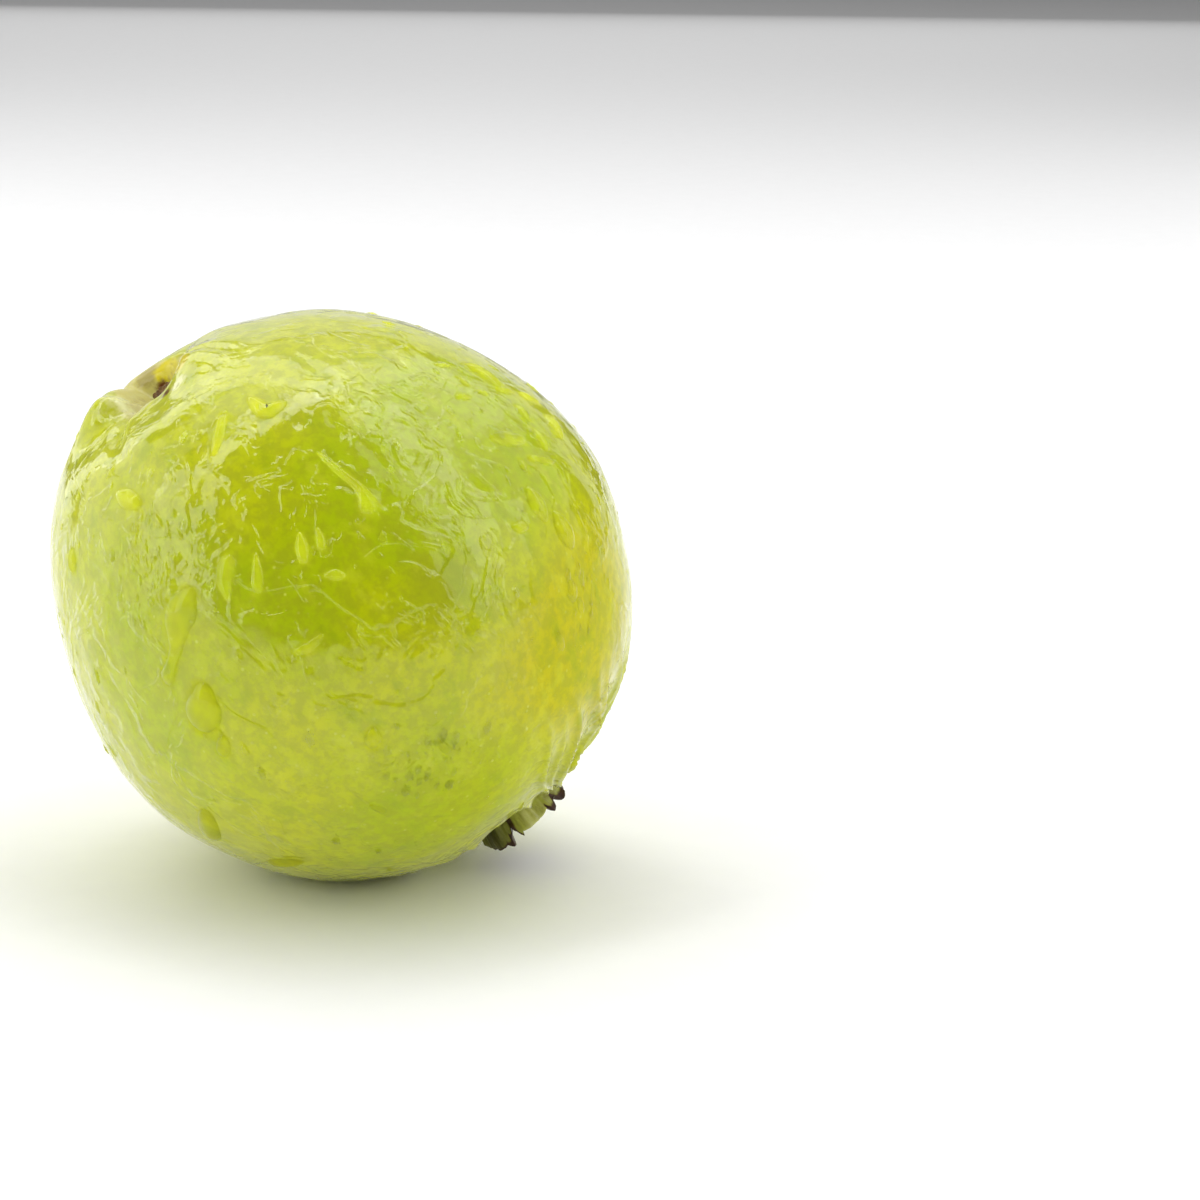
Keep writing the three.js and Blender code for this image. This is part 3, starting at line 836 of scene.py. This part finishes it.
# %% Drops
WATER_DIP = 0.12  # how far a drop's underside goes below the skin, mm
DROP_STEEPNESS = 0.9
BLUNT_ENDS, STRAIGHT_SIDES = 2.6, 6  # powers of the outline, of a short drop and of a run
SHORT = 1.5  # a drop is short up to this many widths
RUNS = [  # seen centre or path, widths in mm along it, height in mm
    ([(203, 694), (203, 722)], (4.2, 5.6, 5.4), 1.15),
    ([(223, 739), (223, 753)], (1.9, 2.3, 2.2), 0.55),
    ([(244, 747), (245, 753)], (1.1, 1.2, 1.1), 0.3),
    ([(327, 575), (343, 575)], (1.2, 1.6, 1.3), 0.4),
    ([(296, 652), (309, 648), (321, 636)], (1.3, 1.5, 0.9), 0.35),
    ([(188, 596), (176, 622), (176, 648), (168, 676)], (3.2, 4.6, 2.0, 3.2), 0.6),
    ([(228, 560), (224, 580), (228, 598)], (2.4, 2.6, 1.2), 0.4),
    ([(256, 556), (258, 590)], (0.8, 1.6, 1.8), 0.35),
    ([(470, 366), (497, 383)], (2.0, 3.0, 2.6), 0.7),
    ([(437, 365), (448, 366)], (0.8, 1.1, 0.8), 0.3),
    ([(494, 437), (521, 441)], (1.6, 2.6, 1.6), 0.8),
    ([(548, 418), (560, 436)], (1.6, 2.4, 1.8), 0.7),
    ([(536, 432), (546, 448)], (1.2, 2.0, 1.8), 0.6),
    ([(518, 407), (527, 418)], (1.2, 1.9, 1.6), 0.5),
    ([(530, 492), (544, 516)], (2.0, 3.2, 2.2), 0.8),
    ([(557, 517), (570, 543)], (2.2, 3.4, 2.6), 0.85),
    ([(515, 527), (526, 527)], (1.3, 1.9, 1.5), 0.55),
    ([(459, 378), (467, 385)], (0.9, 1.2, 1.0), 0.35),
    ([(458, 396), (469, 397)], (0.9, 1.3, 0.9), 0.35),
    ([(479, 392), (487, 394)], (0.7, 1.0, 0.8), 0.3),
    ([(497, 389), (510, 392)], (1.0, 1.4, 1.1), 0.4),
    ([(521, 394), (537, 403)], (1.1, 1.5, 1.0), 0.4),
    ([(530, 458), (552, 462)], (1.0, 1.5, 1.0), 0.4),
    ([(521, 462), (526, 471)], (0.9, 1.2, 1.0), 0.35),
    ([(119, 494), (137, 504)], (2.0, 2.8, 2.2), 0.7),
    ([(72, 552), (73, 569)], (1.6, 2.2, 2.0), 0.6),
    ([(322, 456), (342, 474), (360, 488), (369, 507)], (0.8, 1.0, 1.4, 3.4), 0.8),
    ([(373, 732), (373, 745)], (1.8, 2.3, 2.1), 0.6),
    ([(206, 814), (212, 836)], (2.6, 3.4, 3.0), 0.6),
    ([(272, 862), (298, 862)], (1.8, 3.0, 2.0), 0.6),
    ([(571, 583), (573, 599)], (1.4, 2.0, 1.8), 0.6),
    ([(579, 600), (582, 611)], (1.0, 1.4, 1.2), 0.4),
    ([(558, 634), (562, 648)], (1.0, 1.6, 1.4), 0.45),
    ([(300, 536), (304, 560)], (1.0, 2.0, 1.6), 0.5),
    ([(318, 530), (322, 548)], (0.8, 1.4, 1.2), 0.35),
    ([(252, 400), (266, 412), (282, 404)], (1.6, 2.6, 1.6), 0.6),
    ([(224, 416), (220, 430), (214, 453)], (1.5, 1.7, 1.0), 0.4),
    ([(372, 806), (384, 812)], (0.9, 1.3, 1.0), 0.3),
    ([(440, 742), (448, 752)], (1.0, 1.4, 1.2), 0.35),
]
BEADS, BEAD_SIZES = 420, (0.35, 1.5)
BEAD_HEIGHT, BEAD_RAGGED = 0.17, 0.05  # as shares of its size
LOWEST_BEAD = 5  # mm above the floor
BARE_ENDS = (25, 13)  # no beads further along the axis than this and nearer to it than this
BEAD_CENTRES = [(500, 430, 90, 90), (420, 760, 60, 40), (590, 590, 25, 60), (140, 560, 60, 120)]


def domed(made, path, widths, height, ragged):
    """Lays the points of a unit sphere on the skin as a drop that follows a path."""
    path = [Vector(p) for p in path]
    steps = [0.0]
    for a, b in zip(path, path[1:]):
        steps.append(steps[-1] + (b - a).length)
    length = steps[-1]
    middle_width = max(widths)
    ends = BLUNT_ENDS if length < SHORT * middle_width else STRAIGHT_SIDES
    profile = np.polyfit(np.linspace(0, 1, len(widths)), widths, len(widths) - 1)
    phase = ragged * 100
    for v in made:
        x, y, z = v.co
        cap = max(0.0, 1 - abs(y) ** ends) ** 0.5
        round_y = max(1e-6, 1 - y * y) ** 0.5
        across = max(-1.0, min(1.0, x / round_y))
        reach = (y + 1) / 2 * (length + middle_width * 0.6) - middle_width * 0.3
        part = max(0.0, min(1.0, reach / length))
        width = np.polyval(profile, part) / 2
        spin_at = np.arctan2(x, y)
        width *= 1 + ragged * (np.sin(2 * spin_at + phase) + 0.6 * np.sin(3 * spin_at + 2 * phase))
        k = int(np.clip(np.searchsorted(steps, part * length) - 1, 0, len(path) - 2))
        a, b = path[k], path[k + 1]
        heading = (b - a).normalized()
        centre = a + heading * (reach - steps[k])
        _, normal, _, _ = tree_of_skin.find_nearest(centre)
        sideways = heading.cross(normal).normalized()
        target = centre + sideways * across * width * cap
        ground, normal, _, _ = tree_of_skin.find_nearest(target)
        dome = ((1 - across * across) * cap * cap) ** DROP_STEEPNESS * height
        lift = dome if z > 1e-4 else (-WATER_DIP if z < -1e-4 else -WATER_DIP / 4)
        v.co = (ground + normal * lift) * MM


HEIGHTS = 1.1  # all the heights above are multiplied by this

bm = bmesh.new()
dice = random.Random(11)
covered = np.zeros(len(placed))
for path, widths, height in RUNS:
    made = bmesh.ops.create_uvsphere(bm, u_segments=28, v_segments=14, radius=1)["verts"]
    on_path = [on_skin(x, y)[0] for x, y in path]
    for k in range(9):
        at = k / 8 * (len(on_path) - 1)
        a = min(int(at), len(on_path) - 2)
        centre = np.array(on_path[a].lerp(on_path[a + 1], at - a))
        width = np.interp(k / 8, np.linspace(0, 1, len(widths)), widths)
        near = np.linalg.norm(placed - centre, axis=1)
        covered = np.maximum(covered, fade(width * 0.55, width * 0.38, near))
    domed(made, on_path, widths, height * HEIGHTS, dice.uniform(0.03, 0.09))
water_mesh = bpy.data.meshes.new("water_drops")
bm.to_mesh(water_mesh)
bm.free()
paint(skin_mesh, "under_drop", covered)

bm = bmesh.new()
placed_beads = 0
while placed_beads < BEADS:
    if dice.random() < 0.5:
        x, y, wide, tall = dice.choice(BEAD_CENTRES)
        spot, normal = on_skin(dice.gauss(x, wide / 2), dice.gauss(y, tall / 2))
    else:
        ball = Vector([dice.gauss(0, 1) for _ in range(3)]).normalized() * 60
        spot, normal, _, _ = tree_of_skin.find_nearest(Vector(GIRTH_CENTRE) + ball)
    size = BEAD_SIZES[0] + (BEAD_SIZES[1] - BEAD_SIZES[0]) * dice.random() ** 3
    grow = dice.uniform(1.0, 1.5)
    if spot is None or spot.z < LOWEST_BEAD:
        continue
    own = AXES @ (np.array(spot) - GIRTH_CENTRE)
    if abs(own[1]) > BARE_ENDS[0] and np.hypot(own[0], own[2]) < BARE_ENDS[1]:
        continue
    slope = Vector((0, 0, -1)) - normal * -normal.z
    slope = slope.normalized() * size * grow / 2
    made = bmesh.ops.create_icosphere(bm, subdivisions=1, radius=1)["verts"]
    widths = (size * 0.9, size, size * 0.95)
    domed(made, [spot - slope, spot + slope], widths, size * BEAD_HEIGHT, BEAD_RAGGED)
    placed_beads += 1
bead_mesh = bpy.data.meshes.new("water_beads")
bm.to_mesh(bead_mesh)
bm.free()

# %% Water material
water_finish, tree, shader = material("clear_water")
shader.inputs["Base Color"].default_value = (1, 1, 1, 1)
shader.inputs["Transmission Weight"].default_value = 1.0
shader.inputs["IOR"].default_value = WATER_INDEX
haze = cloud(tree, node(tree, "TexCoord").outputs["Object"], 2, 2, 0.5)
tree.links.new(stepped(tree, haze, 0.3, 0.8, 0.0, 0.03), shader.inputs["Roughness"])
ripple = node(tree, "Bump", {"Height": haze, "Strength": 0.1, "Distance": 0.0002})
tree.links.new(ripple.outputs[0], shader.inputs["Normal"])
SHARP_FOOT = rad(60)  # a dome and its underside meet more sharply than this
for name, mesh in (("water_drops", water_mesh), ("water_beads", bead_mesh)):
    mesh.shade_smooth()
    mesh.set_sharp_from_angle(angle=SHARP_FOOT)
    mesh.materials.append(water_finish)
    piece = bpy.data.objects.new(name, mesh)
    piece.visible_shadow = False
    bpy.context.scene.collection.objects.link(piece)
    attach(piece, "root")
    print(name, len(mesh.polygons), "faces")

# %% Floor material
floor_finish, tree, shader = material("pale_floor")
grain = cloud(tree, node(tree, "TexCoord").outputs["Object"], 6, 3, 0.5)
tree.links.new(mixed(tree, grain, (0.92, 0.92, 0.92, 1), (0.95, 0.95, 0.95, 1)),
               shader.inputs["Base Color"])
shader.inputs["Roughness"].default_value = 0.9
shader.inputs["Specular IOR Level"].default_value = 0.1
floor_mesh.materials.append(floor_finish)
